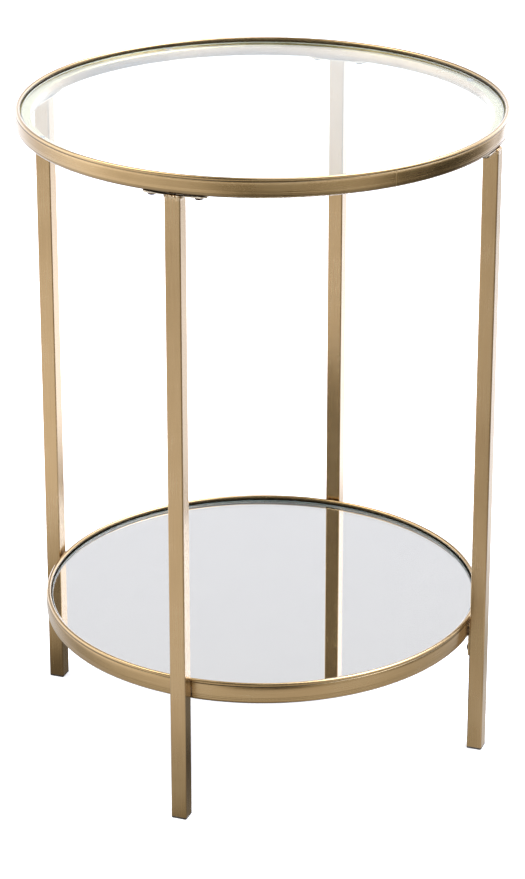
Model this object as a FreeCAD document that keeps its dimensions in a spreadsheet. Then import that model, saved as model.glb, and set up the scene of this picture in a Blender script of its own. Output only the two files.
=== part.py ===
import FreeCAD, Part
import math
import os
import re
import Sketcher

# A round side table with two tiers: a clear glass top lying in a lipped steel ring, and a mirror
# lying in a smaller ring between four square legs. Millimetres, +Z up, the origin on the floor
# under the table's middle. The legs stand on -Y (front), +X (right), +Y (back) and -X (left).

FOLDER = "parts"
os.makedirs(FOLDER, exist_ok=True)
doc = FreeCAD.newDocument("side_table")
sheet = doc.addObject("Spreadsheet::Sheet", "sizes")

# Driving dimensions: name, value, meaning.
DRIVING = (
    ("table_height", 635, "floor to the top of the upper lip"),
    ("top_radius", 230, "outer radius of the top ring"),
    ("top_tube_height", 10.2, "height of the top ring's hollow part"),
    ("shelf_height", 140, "floor to the top of the lower lip"),
    ("shelf_tube_height", 12.4, "height of the shelf ring's hollow part"),
    ("ring_width", 15, "radial width of both rings"),
    ("ring_wall", 1.2, "wall of the hollow part of both rings"),
    ("ring_corner", 3, "rounding of the rings' outer bottom edge"),
    ("ledge_corner", 1.5, "rounding of the rings' two inner edges"),
    ("lip_width", 4.5, "radial width of the lip"),
    ("lip_rise", 4, "height of the lip above its pane"),
    ("bead_round", 2.1, "rounding of the lip's two top edges"),
    ("glass_thickness", 4, "thickness of the glass top"),
    ("mirror_thickness", 4, "thickness of the mirror's glass"),
    ("backing_thickness", 0.4, "silvering and safety film behind the mirror"),
    ("pane_gap", 1, "radial clearance between a pane and its lip"),
    ("pane_round", 1, "rounding of the panes' ground edges"),
    ("pad_radius", 3.5, "radius of the clear bumpers"),
    ("pad_thickness", 0.8, "thickness of the clear bumpers"),
    ("leg_width", 15, "outer width of the square leg tube"),
    ("leg_wall", 1.2, "wall of the leg tube"),
    ("leg_corner", 1.2, "rounding of the leg's long edges"),
    ("plate_end", 8, "a screw's middle to the end of its plate"),
    ("plate_thickness", 2, "thickness of the plate on a leg's top"),
    ("plate_corner", 4, "rounding of the plate's four corners"),
    ("weld_size", 1.8, "side of the fillet welds"),
    ("weld_end_gap", 0.6, "weld kept back from the end of its seam"),
    ("foot_flange", 2, "part of a foot cap below the tube"),
    ("foot_edge", 0.6, "chamfer round the bottom of a foot cap"),
    ("foot_plug_depth", 14, "part of a foot cap inside the tube"),
    ("foot_plug_inset", 1, "core of the plug kept back from its ribs"),
    ("foot_rib_height", 1.2, "height of each rib on the plug"),
    ("foot_hollow_wall", 1.6, "wall of the plug's hollow core"),
    ("tab_width", 13, "width of a shelf tab"),
    ("tab_thickness", 1.5, "thickness of a shelf tab"),
    ("tab_end", 8, "a bolt's middle to the bottom of its tab"),
    ("tab_top_drop", 6.5, "top of the lower lip to the top of a tab"),
    ("tab_corner", 3, "rounding of a tab's bottom corners"),
    ("bolt_drop", 11, "bottom of the shelf ring to a bolt's middle"),
    ("bolt_radius", 2.5, "radius of the shelf bolts"),
    ("bolt_head_radius", 5, "radius of the shelf bolts' domed heads"),
    ("bolt_head_height", 2.7, "height of the domed heads"),
    ("bolt_head_rim", 0.6, "straight rim of the domed heads"),
    ("bolt_socket_radius", 1.7, "corner radius of the hex socket"),
    ("bolt_socket_depth", 1.5, "depth of the hex socket"),
    ("shelf_nut_rim", 2.1, "a shelf bolt's side to its nut's corners"),
    ("shelf_nut_height", 4, "height of the nuts inside the legs"),
    ("screw_spacing", 44, "distance between the two screws of a leg plate"),
    ("screw_radius", 2, "radius of the leg plate screws"),
    ("screw_head_radius", 4, "radius of the screws' round heads"),
    ("screw_head_height", 2.8, "height of the screws' round heads"),
    ("screw_head_rim", 0.8, "straight rim of the screws' heads"),
    ("recess_reach", 2.1, "half length of the cross recess"),
    ("recess_half_width", 0.5, "half width of the cross recess"),
    ("recess_depth", 1.3, "depth of the cross recess"),
    ("top_nut_rim", 2, "a plate screw's side to its nut's corners"),
    ("top_nut_height", 3.2, "height of the nuts inside the top ring"),
    ("hole_clearance", 0.25, "radial clearance of a hole round its screw"),
    ("thread_clearance", 0.1, "radial clearance of a nut round its screw"),
    ("plug_clearance", 0.1, "clearance of a foot cap's ribs in the tube"),
    ("thread_past_nut", 1, "screw end beyond its nut"),
)

# Sizes that follow from the driving ones.
DERIVED = (
    ("glass_bottom", "table_height - lip_rise - glass_thickness", "underside of the glass"),
    ("top_ledge", "glass_bottom - pad_thickness", "ledge of the top ring"),
    ("top_bottom", "top_ledge - top_tube_height", "underside of the top ring"),
    ("leg_top", "top_bottom - plate_thickness", "top of the leg tubes"),
    ("leg_middle", "top_radius - leg_width / 2", "table's middle to a leg's middle"),
    ("leg_inside", "top_radius - leg_width", "table's middle to a leg's inner face"),
    ("screw_circle", "top_radius - ring_width / 2", "radius of the circle of screws"),
    ("screw_chord", "sqrt(screw_circle ^ 2 - (screw_spacing / 2) ^ 2)", "table's middle to two screws' line"),
    ("shelf_radius", "leg_inside - tab_thickness", "outer radius of the shelf ring"),
    ("mirror_bottom", "shelf_height - lip_rise - mirror_thickness", "underside of the mirror's glass"),
    ("backing_bottom", "mirror_bottom - backing_thickness", "underside of the mirror's film"),
    ("shelf_ledge", "backing_bottom - pad_thickness", "ledge of the shelf ring"),
    ("shelf_bottom", "shelf_ledge - shelf_tube_height", "underside of the shelf ring"),
    ("tab_top", "shelf_height - tab_top_drop", "top of the shelf tabs"),
    ("bolt_height", "shelf_bottom - bolt_drop", "floor to a shelf bolt's middle"),
)

LEG_TURNS = {"front": 0, "right": 90, "back": 180, "left": 270}
LEG_COUNT = len(LEG_TURNS)
PAD_COUNT = 4
FOOT_RIB_COUNT = 3
FULL_TURN = 360
HEXAGON_CORNERS = 6
CORNER_ASIDE = 0
CORNER_UP = 90
MATCH = 1e-4  # how closely an edge has to lie on the place asked for
LEAST_ROUND = 0.1  # smallest rounding inside a hollow

parts = []


def fill_sheet():
    """Write each size on its own row: words, value and alias."""
    rows = [(alias, str(value), words) for alias, value, words in DRIVING]
    rows += [(alias, "=" + formula, words) for alias, formula, words in DERIVED]
    for row, (alias, content, words) in enumerate(rows, start=1):
        sheet.set(f"A{row}", words)
        sheet.set(f"B{row}", content)
        sheet.setAlias(f"B{row}", alias)
    doc.recompute()


def linked(expression):
    """Point each size's name in an expression at its cell in the sheet."""
    return re.sub(r"\b[a-z]+_[a-z_]+\b", lambda name: "sizes." + name.group(), expression)


def number(expression):
    """The value of an expression of sizes, in millimetres."""
    return float(sheet.evalExpression(linked(expression)))


def new_body(label):
    """An empty body for one sub-part, which its label names."""
    body = doc.addObject("PartDesign::Body", label)
    body.Label = label
    parts.append(body)
    return body


def datum(body, role):
    """One of the body's own origin planes or axes."""
    return next(item for item in body.Origin.OriginFeatures if item.Role == role)


def new_sketch(body, plane, offset="0"):
    """A sketch on one of the body's planes, moved along the plane's normal by an offset."""
    sketch = body.newObject("Sketcher::SketchObject", body.Label + "_sketch")
    sketch.AttachmentSupport = [(datum(body, plane), "")]
    sketch.MapMode = "FlatFace"
    sketch.setExpression("AttachmentOffset.Base.z", linked(offset))
    return sketch


def hold(sketch, direction, element, point, expression):
    """Fix a point's distance from the sketch's origin along one axis."""
    value = number(expression)
    index = sketch.addConstraint(Sketcher.Constraint(direction, -1, 1, element, point, value))
    sketch.setExpression(f"Constraints[{index}]", linked(expression))


def draw_sides(sketch, corners, ends):
    """Straight sides from each corner to its end, both given as pairs of expressions."""
    sides = []
    for corner, end in zip(corners, ends):
        points = [FreeCAD.Vector(number(x), number(y), 0) for x, y in (corner, end)]
        sides.append(sketch.addGeometry(Part.LineSegment(*points), False))
    for side, following in zip(sides, sides[1:]):
        sketch.addConstraint(Sketcher.Constraint("Coincident", side, 2, following, 1))
    for side, (x, y) in zip(sides, corners):
        hold(sketch, "DistanceX", side, 1, x)
        hold(sketch, "DistanceY", side, 1, y)
    return sides


def draw_outline(sketch, corners):
    """A closed outline of straight lines through corners."""
    sides = draw_sides(sketch, corners, corners[1:] + corners[:1])
    sketch.addConstraint(Sketcher.Constraint("Coincident", sides[-1], 2, sides[0], 1))


def draw_domed_outline(sketch, corners, along):
    """A half section whose last corner, the dome's tip, and first corner, its rim, an arc joins.

    The spin axis passes through the tip in the direction given, and is drawn too.
    """
    sides = draw_sides(sketch, corners[:-1], corners[1:])
    rim = sketch.getPoint(sides[0], 1)
    tip = sketch.getPoint(sides[-1], 2)
    axis = sketch.addGeometry(Part.LineSegment(tip, tip + along), True)
    sketch.addConstraint(Sketcher.Constraint("Coincident", axis, 1, sides[-1], 2))
    sketch.addConstraint(Sketcher.Constraint("Vertical" if along.y else "Horizontal", axis))
    sketch.addConstraint(Sketcher.Constraint("Distance", axis, along.Length))
    hold(sketch, "DistanceX", sides[-1], 2, corners[-1][0])
    hold(sketch, "DistanceY", sides[-1], 2, corners[-1][1])
    rise = (rim - tip).dot(along)
    centre = tip + along * ((rim - tip).Length ** 2 / (2 * rise))
    circle = Part.Circle(centre, FreeCAD.Vector(0, 0, 1), (tip - centre).Length)
    start = math.atan2(tip.y - centre.y, tip.x - centre.x)
    finish = math.atan2(rim.y - centre.y, rim.x - centre.x)
    dome = sketch.addGeometry(Part.ArcOfCircle(circle, start, finish), False)
    sketch.addConstraint(Sketcher.Constraint("Coincident", dome, 1, sides[-1], 2))
    sketch.addConstraint(Sketcher.Constraint("Coincident", dome, 2, sides[0], 1))
    sketch.addConstraint(Sketcher.Constraint("PointOnObject", dome, 3, axis))


def draw_rectangle(sketch, left, right, low, high):
    """A rectangle between two positions along each axis."""
    draw_outline(sketch, ((left, low), (right, low), (right, high), (left, high)))


def draw_leg_square(sketch, half):
    """A square of a given half width round the front leg's middle, seen from above."""
    draw_rectangle(sketch, f"-({half})", half, f"-leg_middle - ({half})", f"-leg_middle + ({half})")


def draw_circle(sketch, x, y, radius):
    """A circle whose middle and radius are expressions."""
    middle = FreeCAD.Vector(number(x), number(y), 0)
    circle = sketch.addGeometry(Part.Circle(middle, FreeCAD.Vector(0, 0, 1), number(radius)), False)
    index = sketch.addConstraint(Sketcher.Constraint("Radius", circle, number(radius)))
    sketch.setExpression(f"Constraints[{index}]", linked(radius))
    hold(sketch, "DistanceX", circle, 3, x)
    hold(sketch, "DistanceY", circle, 3, y)


def draw_hexagon(sketch, x, y, radius, first_turn):
    """A regular hexagon whose first corner lies at a turn from the sketch's X axis."""
    turns = [first_turn + FULL_TURN * corner / HEXAGON_CORNERS for corner in range(HEXAGON_CORNERS)]
    draw_outline(sketch, [
        (f"{x} + ({radius}) * cos({turn})", f"{y} + ({radius}) * sin({turn})") for turn in turns
    ])


def add_feature(body, kind, **settings):
    """A feature at the end of the body, with its settings made before it is worked out."""
    feature = body.newObject("PartDesign::" + kind, f"{body.Label}_{kind}")
    for name, value in settings.items():
        setattr(feature, name, value)
    body.Tip = feature
    doc.recompute()
    return feature


def pad(body, sketch, length, reverse=False):
    """Raise a sketch by a length along its normal."""
    feature = add_feature(body, "Pad", Profile=sketch, Length=number(length), Reversed=reverse)
    feature.setExpression("Length", linked(length))
    doc.recompute()
    return feature


def check_smaller(body, before):
    """Stop if the newest feature took nothing off its body."""
    if body.Shape.Volume >= before:
        raise RuntimeError(f"{body.Tip.Label} cuts nothing")


def pocket(body, sketch, length, reverse=False):
    """Cut a sketch to a depth against its normal, or along it when reversed."""
    before = body.Shape.Volume
    feature = add_feature(body, "Pocket", Profile=sketch, Length=number(length), Reversed=reverse)
    feature.setExpression("Length", linked(length))
    doc.recompute()
    check_smaller(body, before)
    return feature


def revolve(body, sketch, axis):
    """Turn a sketch a full turn about an axis."""
    return add_feature(body, "Revolution", Profile=sketch, ReferenceAxis=axis, Angle=FULL_TURN)


def cut_round(body, sketch):
    """Cut a sketch out all the way round the body's upright axis."""
    before = body.Shape.Volume
    axis = (datum(body, "Z_Axis"), [""])
    add_feature(body, "Groove", Profile=sketch, ReferenceAxis=axis, Angle=FULL_TURN)
    check_smaller(body, before)


def repeat_round(body, features, count):
    """Repeat features evenly round the table's middle."""
    axis = (datum(body, "Z_Axis"), [""])
    add_feature(body, "PolarPattern", Originals=features, Axis=axis, Angle=FULL_TURN, Occurrences=count)


def round_edges(body, wanted, radius, kind="Fillet", size="Radius"):
    """Round, or chamfer, the edges of the body that answer to a test."""
    tip = body.Tip
    names = [f"Edge{place}" for place, edge in enumerate(tip.Shape.Edges, start=1) if wanted(edge)]
    if not names:
        raise RuntimeError(f"{body.Label} has no edge to round")
    feature = add_feature(body, kind, Base=(tip, names), **{size: number(radius)})
    feature.setExpression(size, linked(radius))
    doc.recompute()


def circle_at(radius, height):
    """A test for a level circular edge round the upright axis."""
    def wanted(edge):
        return (
            isinstance(edge.Curve, Part.Circle)
            and abs(edge.Curve.Radius - number(radius)) < MATCH
            and abs(edge.Curve.Center.z - number(height)) < MATCH
        )
    return wanted


def runs_along(axis):
    """A test for a straight edge along X, Y or Z."""
    def wanted(edge):
        ends = [vertex.Point for vertex in edge.Vertexes]
        return len(ends) == 2 and abs(abs((ends[1] - ends[0]).normalize().dot(axis)) - 1) < MATCH
    return wanted


def level_at(height):
    """A test for a straight edge that lies level at a height."""
    def wanted(edge):
        return all(abs(vertex.Point.z - number(height)) < MATCH for vertex in edge.Vertexes)
    return wanted


def lies_below(test, height):
    """A test that also asks for an edge to lie below a height."""
    def wanted(edge):
        return test(edge) and edge.BoundBox.ZMax < number(height)
    return wanted


def build_ring(label, radius, top, bottom, ledge):
    """A rolled ring: a hollow ledge with a rounded lip standing round it."""
    body = new_body(label)
    inner = f"{radius} - ring_width"
    lip_inside = f"{radius} - lip_width"
    profile = new_sketch(body, "XZ_Plane")
    draw_outline(profile, (
        (inner, bottom), (radius, bottom), (radius, top),
        (lip_inside, top), (lip_inside, ledge), (inner, ledge),
    ))
    revolve(body, profile, (datum(body, "Z_Axis"), [""]))
    bead = "min(bead_round; 0.47 * lip_width)"
    round_edges(body, circle_at(radius, top), bead)
    round_edges(body, circle_at(lip_inside, top), bead)
    round_edges(body, circle_at(radius, bottom), "ring_corner")
    round_edges(body, circle_at(inner, ledge), "ledge_corner")
    round_edges(body, circle_at(inner, bottom), "ledge_corner")
    hollow = new_sketch(body, "XZ_Plane")
    draw_rectangle(
        hollow, f"{inner} + ring_wall", f"{radius} - ring_wall",
        f"{bottom} + ring_wall", f"{ledge} - ring_wall",
    )
    cut_round(body, hollow)
    hollow_corner = circle_at(f"{radius} - ring_wall", f"{bottom} + ring_wall")
    round_edges(body, hollow_corner, f"max(ring_corner - ring_wall; {LEAST_ROUND})")
    return body


def drill_top_ring(ring):
    """Holes through the top ring's underside for the leg plate screws."""
    holes = new_sketch(ring, "XY_Plane", "top_bottom")
    draw_screw_holes(holes)
    drilled = pocket(ring, holes, "ring_wall", reverse=True)
    repeat_round(ring, [drilled], LEG_COUNT)


def draw_screw_holes(sketch):
    """The two clearance holes of the front leg's screws, seen from above."""
    for side in ("-", ""):
        draw_circle(sketch, f"{side}screw_spacing / 2", "-screw_chord", "screw_radius + hole_clearance")


def build_pane(label, radius, bottom, thickness):
    """A round pane with ground edges that lies inside its ring's lip."""
    body = new_body(label)
    edge = f"{radius} - lip_width - pane_gap"
    disc = new_sketch(body, "XY_Plane", bottom)
    draw_circle(disc, "0", "0", edge)
    pad(body, disc, thickness)
    for height in (bottom, f"{bottom} + {thickness}"):
        round_edges(body, circle_at(edge, height), f"min(pane_round; 0.4 * {thickness})")


def build_backing():
    """The silvering and safety film behind the mirror's glass."""
    body = new_body("mirror_backing")
    disc = new_sketch(body, "XY_Plane", "backing_bottom")
    draw_circle(disc, "0", "0", "shelf_radius - lip_width - pane_gap - pane_round")
    pad(body, disc, "backing_thickness")


def build_bumpers(label, radius, ledge):
    """Clear bumpers on a ledge, midway between the legs."""
    body = new_body(label)
    middle = f"({radius} - (ring_width + lip_width) / 2)"
    half_gap = FULL_TURN / LEG_COUNT / 2
    disc = new_sketch(body, "XY_Plane", ledge)
    draw_circle(disc, f"{middle} * cos({half_gap})", f"{middle} * sin({half_gap})", "pad_radius")
    bumper = pad(body, disc, "pad_thickness")
    repeat_round(body, [bumper], PAD_COUNT)


def build_leg(label):
    """A square tube between its foot cap and its plate, bored for the shelf bolt."""
    body = new_body(label)
    outside = new_sketch(body, "XY_Plane", "foot_flange")
    draw_leg_square(outside, "leg_width / 2")
    pad(body, outside, "leg_top - foot_flange")
    round_edges(body, runs_along(FreeCAD.Vector(0, 0, 1)), "leg_corner")
    bore = new_sketch(body, "XY_Plane", "foot_flange")
    draw_leg_square(bore, "leg_width / 2 - leg_wall")
    pocket(body, bore, "leg_top - foot_flange", reverse=True)
    hole = new_sketch(body, "XZ_Plane", "leg_inside")
    draw_circle(hole, "0", "bolt_height", "bolt_radius + hole_clearance")
    pocket(body, hole, "leg_wall", reverse=True)
    return body


def build_plate(label):
    """A flat bar across a leg's top, drilled for two screws."""
    body = new_body(label)
    bar = new_sketch(body, "XY_Plane", "leg_top")
    draw_rectangle(
        bar, "-screw_spacing / 2 - plate_end", "screw_spacing / 2 + plate_end",
        "-leg_middle - leg_width / 2", "-leg_middle + leg_width / 2",
    )
    pad(body, bar, "plate_thickness")
    round_edges(body, runs_along(FreeCAD.Vector(0, 0, 1)), "plate_corner")
    holes = new_sketch(body, "XY_Plane", "leg_top")
    draw_screw_holes(holes)
    pocket(body, holes, "plate_thickness", reverse=True)
    return body


def build_foot(label):
    """A plastic cap: a flange under the tube and a ribbed hollow plug inside it."""
    body = new_body(label)
    flange = new_sketch(body, "XY_Plane")
    draw_leg_square(flange, "leg_width / 2")
    pad(body, flange, "foot_flange")
    round_edges(body, runs_along(FreeCAD.Vector(0, 0, 1)), "leg_corner")
    round_edges(body, level_at("0"), "foot_edge", "Chamfer", "Size")
    rib_half = "leg_width / 2 - leg_wall - plug_clearance"
    core = new_sketch(body, "XY_Plane", "foot_flange")
    draw_leg_square(core, f"{rib_half} - foot_plug_inset")
    pad(body, core, "foot_plug_depth")
    for rib in range(FOOT_RIB_COUNT):
        middle = f"foot_plug_depth * {rib + 0.5} / {FOOT_RIB_COUNT}"
        square = new_sketch(body, "XY_Plane", f"foot_flange + {middle} - foot_rib_height / 2")
        draw_leg_square(square, rib_half)
        pad(body, square, "foot_rib_height")
    hollow = new_sketch(body, "XY_Plane", "foot_flange")
    draw_leg_square(hollow, f"{rib_half} - foot_plug_inset - foot_hollow_wall")
    pocket(body, hollow, "foot_plug_depth", reverse=True)
    return body


def build_tab(label):
    """A flat tab between the shelf ring and a leg, reaching below the ring to its bolt."""
    body = new_body(label)
    face = new_sketch(body, "XZ_Plane", "shelf_radius")
    draw_rectangle(face, "-tab_width / 2", "tab_width / 2", "bolt_height - tab_end", "tab_top")
    pad(body, face, "tab_thickness")
    along = runs_along(FreeCAD.Vector(0, 1, 0))
    round_edges(body, lies_below(along, "shelf_bottom"), "tab_corner")
    hole = new_sketch(body, "XZ_Plane", "shelf_radius")
    draw_circle(hole, "0", "bolt_height", "bolt_radius + hole_clearance")
    pocket(body, hole, "tab_thickness", reverse=True)
    return body


def build_leg_welds():
    """Fillet welds on both sides of each leg's top, under its plate."""
    body = new_body("leg_welds")
    beads = []
    for side in ("-", ""):
        corner = f"{side}leg_width / 2"
        outer = f"{side}(leg_width / 2 + weld_size)"
        section = new_sketch(body, "XZ_Plane", "leg_inside + leg_corner + weld_end_gap")
        draw_outline(section, ((corner, "leg_top"), (corner, "leg_top - weld_size"), (outer, "leg_top")))
        beads.append(pad(body, section, "leg_width - 2 * (leg_corner + weld_end_gap)"))
    repeat_round(body, beads, LEG_COUNT)


def build_tab_welds():
    """Fillet welds up both sides of each tab, against the shelf ring's band."""
    body = new_body("tab_welds")
    beads = []
    for side in ("-", ""):
        corner = f"{side}tab_width / 2"
        outer = f"{side}(tab_width / 2 + tab_thickness)"
        section = new_sketch(body, "XY_Plane", "shelf_bottom + ring_corner")
        draw_outline(section, (
            (corner, "-shelf_radius"), (outer, "-shelf_radius"), (corner, "-shelf_radius - tab_thickness"),
        ))
        beads.append(pad(body, section, "tab_top - weld_end_gap - shelf_bottom - ring_corner"))
    repeat_round(body, beads, LEG_COUNT)


def build_top_screws():
    """Round-head screws from below through the leg plates into the top ring."""
    body = new_body("top_screws")
    head_low = "leg_top - screw_head_height"
    end = "top_bottom + ring_wall + top_nut_height + thread_past_nut"
    features = []
    for side in ("-", ""):
        middle = f"{side}screw_spacing / 2"
        section = new_sketch(body, "XZ_Plane", "screw_chord")
        draw_domed_outline(section, (
            (f"{middle} + screw_head_radius", "leg_top - screw_head_rim"),
            (f"{middle} + screw_head_radius", "leg_top"),
            (f"{middle} + screw_radius", "leg_top"),
            (f"{middle} + screw_radius", end),
            (middle, end),
            (middle, head_low),
        ), FreeCAD.Vector(0, 1, 0))
        features.append(revolve(body, section, (section, ["Axis0"])))
        for reaches in (("recess_reach", "recess_half_width"), ("recess_half_width", "recess_reach")):
            slot = new_sketch(body, "XY_Plane", head_low)
            draw_rectangle(
                slot, f"{middle} - {reaches[0]}", f"{middle} + {reaches[0]}",
                f"-screw_chord - {reaches[1]}", f"-screw_chord + {reaches[1]}",
            )
            features.append(pocket(body, slot, "recess_depth", reverse=True))
    repeat_round(body, features, LEG_COUNT)


def build_top_nuts():
    """Hexagonal nuts welded on the floor of the top ring's hollow."""
    body = new_body("top_nuts")
    features = []
    for side in ("-", ""):
        middle = f"{side}screw_spacing / 2"
        hexagon = new_sketch(body, "XY_Plane", "top_bottom + ring_wall")
        draw_hexagon(hexagon, middle, "-screw_chord", "screw_radius + top_nut_rim", CORNER_ASIDE)
        draw_circle(hexagon, middle, "-screw_chord", "screw_radius + thread_clearance")
        features.append(pad(body, hexagon, "top_nut_height"))
    repeat_round(body, features, LEG_COUNT)


def build_shelf_bolts():
    """Dome-head bolts from the table's middle outwards through the tabs into the legs."""
    body = new_body("shelf_bolts")
    head = "-(shelf_radius - bolt_head_height)"
    end = "-(leg_inside + leg_wall + shelf_nut_height + thread_past_nut)"
    section = new_sketch(body, "YZ_Plane")
    draw_domed_outline(section, (
        ("-(shelf_radius - bolt_head_rim)", "bolt_height + bolt_head_radius"),
        ("-shelf_radius", "bolt_height + bolt_head_radius"),
        ("-shelf_radius", "bolt_height + bolt_radius"),
        (end, "bolt_height + bolt_radius"),
        (end, "bolt_height"),
        (head, "bolt_height"),
    ), FreeCAD.Vector(-1, 0, 0))
    bolt = revolve(body, section, (section, ["Axis0"]))
    socket = new_sketch(body, "XZ_Plane", "shelf_radius - bolt_head_height")
    draw_hexagon(socket, "0", "bolt_height", "bolt_socket_radius", CORNER_UP)
    socket_cut = pocket(body, socket, "bolt_socket_depth", reverse=True)
    repeat_round(body, [bolt, socket_cut], LEG_COUNT)


def build_shelf_nuts():
    """Hexagonal nuts welded inside the legs behind the shelf bolts' holes."""
    body = new_body("shelf_nuts")
    hexagon = new_sketch(body, "XZ_Plane", "leg_inside + leg_wall")
    draw_hexagon(hexagon, "0", "bolt_height", "bolt_radius + shelf_nut_rim", CORNER_UP)
    draw_circle(hexagon, "0", "bolt_height", "bolt_radius + thread_clearance")
    nut = pad(body, hexagon, "shelf_nut_height")
    repeat_round(body, [nut], LEG_COUNT)


def build_table():
    """Every sub-part of the table at its place."""
    top_ring = build_ring("top_ring", "top_radius", "table_height", "top_bottom", "top_ledge")
    drill_top_ring(top_ring)
    build_ring("shelf_ring", "shelf_radius", "shelf_height", "shelf_bottom", "shelf_ledge")
    build_pane("glass_top", "top_radius", "glass_bottom", "glass_thickness")
    build_pane("shelf_mirror", "shelf_radius", "mirror_bottom", "mirror_thickness")
    build_backing()
    build_bumpers("glass_bumpers", "top_radius", "top_ledge")
    build_bumpers("mirror_bumpers", "shelf_radius", "shelf_ledge")
    for side, turn in LEG_TURNS.items():
        for piece in (
            build_leg("leg_" + side),
            build_plate("leg_plate_" + side),
            build_foot("foot_cap_" + side),
            build_tab("shelf_tab_" + side),
        ):
            upright = FreeCAD.Rotation(FreeCAD.Vector(0, 0, 1), turn)
            piece.Placement = FreeCAD.Placement(FreeCAD.Vector(0, 0, 0), upright)
    build_leg_welds()
    build_tab_welds()
    build_top_screws()
    build_top_nuts()
    build_shelf_bolts()
    build_shelf_nuts()


def check_and_write():
    """Stop on any failed object or bad shape, then write one STEP file for each sub-part."""
    doc.recompute()
    for item in doc.Objects:
        if {"Invalid", "Error"} & set(item.State):
            raise RuntimeError(f"{item.Label} failed: {item.State}")
    for piece in parts:
        if piece.Shape.isNull() or not piece.Shape.isValid():
            raise RuntimeError(f"{piece.Label} has no valid shape")
        piece.Shape.exportStep(os.path.join(FOLDER, piece.Label + ".step"))
        solids = len(piece.Shape.Solids)
        print(f"{piece.Label}: {solids} solids, {piece.Shape.Volume:.0f} mm3")


fill_sheet()
build_table()
check_and_write()
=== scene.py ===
"""The look of the tiered side table: its finishes, welds and panes, with a plain studio round it.

Every length is in metres. Angles round the table start at the front, at -Y, and run towards +X.
"""

import math
import random

import bmesh
import bpy
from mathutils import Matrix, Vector, noise


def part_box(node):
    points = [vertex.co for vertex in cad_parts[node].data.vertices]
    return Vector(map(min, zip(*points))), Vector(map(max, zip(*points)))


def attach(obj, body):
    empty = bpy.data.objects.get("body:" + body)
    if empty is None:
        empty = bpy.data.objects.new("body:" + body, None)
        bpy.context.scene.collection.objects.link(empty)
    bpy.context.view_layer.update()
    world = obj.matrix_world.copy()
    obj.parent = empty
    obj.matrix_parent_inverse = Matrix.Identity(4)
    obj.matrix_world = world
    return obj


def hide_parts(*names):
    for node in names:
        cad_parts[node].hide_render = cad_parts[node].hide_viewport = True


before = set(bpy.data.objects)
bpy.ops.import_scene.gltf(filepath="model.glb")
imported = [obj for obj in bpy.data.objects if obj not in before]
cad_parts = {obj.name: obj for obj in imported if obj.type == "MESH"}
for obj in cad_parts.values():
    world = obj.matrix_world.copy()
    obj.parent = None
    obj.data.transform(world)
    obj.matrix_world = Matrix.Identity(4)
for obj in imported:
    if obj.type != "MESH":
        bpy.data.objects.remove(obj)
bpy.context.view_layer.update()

# The camera stands where the photograph was taken from. Its shift holds the legs nearly upright.
CAMERA_DISTANCE = 2.6432
CAMERA_HEIGHT = 1.4238
CAMERA_AZIMUTH = 19.973
CAMERA_PITCH = 20.594
CAMERA_LENS = 121.171
CAMERA_SHIFT = (-0.0002, -0.15)

# The rings. Their outer band is cambered: its middle stands proud of its edges, and the forming
# rolls leave two fine creases along it. A groove parts it from the round lip above it.
RING_WIDTH = 0.015
RING_CORNER = 0.0042
RING_CAMBER = 0.0004
RING_CREASES = (0.0047, 0.0064)
CREASE_DEPTH = 0.00013
CREASE_WIDTH = 0.00045
LIP_GROOVE = 30
LEDGE_CORNER = 0.0015
LIP_ROOT = 0.0006
LIP_ROUND = 0.0021
LEDGE_UNDER_PANE = 0.0008
SEAM_ANGLES = {"top_ring": (50.5, 231.0), "shelf_ring": (199.0,)}
SEAM_HALF_WIDTH = 0.0011
SEAM_HEIGHT = 0.00008
SEAM_ROOT = 0.0003
SEAM_SUNK = 0.00002
SEAM_STEP = 0.0009
SEAM_WAVES = 420.0
SEAM_WANDER = 0.0003
SEAM_WANDER_WAVES = 180.0
SEAM_BELOW_TOP = 0.0004
SEAM_FADE = 0.002
# The points of a ring's outline that a seam follows: all but the arcs inside the ring
SEAM_RUN = slice(6, -12)
RINGS = (("top_ring", "glass_top"), ("shelf_ring", "shelf_mirror"))

# The legs, with the plates and welds on them
SIDES = ("front", "right", "back", "left")
LEG_ANGLES = (0, 90, 180, 270)
LEG_WIDTH = 0.015
PLATE_EDGE = 0.2275
PLATE_CORNER = 0.005
PLATE_HOLLOW = 0.0011
PLATE_HOLLOW_REACH = 0.8
PLATE_ROUNDING = 0.0003
PLATE_ROLL = 0.0010
LEG_WELD_SIZE = 0.0018
LEG_WELD_ENDS = (-PLATE_EDGE - 0.0002, -0.2166)
LEG_WELD_MARGIN = 0.0012
END_BEAD_WALL = (0, -1.25, 0)
END_BEAD_COVER = (0, 0, 0.85)
SPATTER_ACROSS = (-0.2285, -0.2165)
SPATTER_BELOW = (0.0035, 0.012)
SPATTER_SIZE = (0.00016, 0.00034)
DROPS_A_SIDE = 4
LUMP_SIZE = 0.0011
LUMP_SET = (0.0006, 0.0004, 0.0009)
TAB_WIDTH = 0.013
TAB_WELD_SIZE = 0.0015
TAB_WELD_MARGIN = 0.0003
TAB_WELD_SUNK = 0.0003

# The section of a weld bead. The ripples, lumps and roughness are shares of its size, and the
# last two have their waves a metre with them.
BEAD_COLUMNS = 9
BEAD_END_STEPS = 5.0
BEAD_END_SHARE = 0.35
BEAD_BODY = 0.88
BEAD_RIPPLE = 0.10
RIPPLE_LENGTH = 0.0011
END_RIPPLE_LENGTH = 0.0016
BEAD_LUMPS = (0.20, 520.0)
BEAD_ROUGHNESS = (0.06, 1500.0)
BEAD_ROOT = 0.0001
# A drop of spatter: the width and rise of its rows, and its top, as shares of its radius
DROP_ROWS = ((1.0, -0.2), (0.9, 0.35), (0.55, 0.72))
DROP_TOP = 0.85

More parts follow.
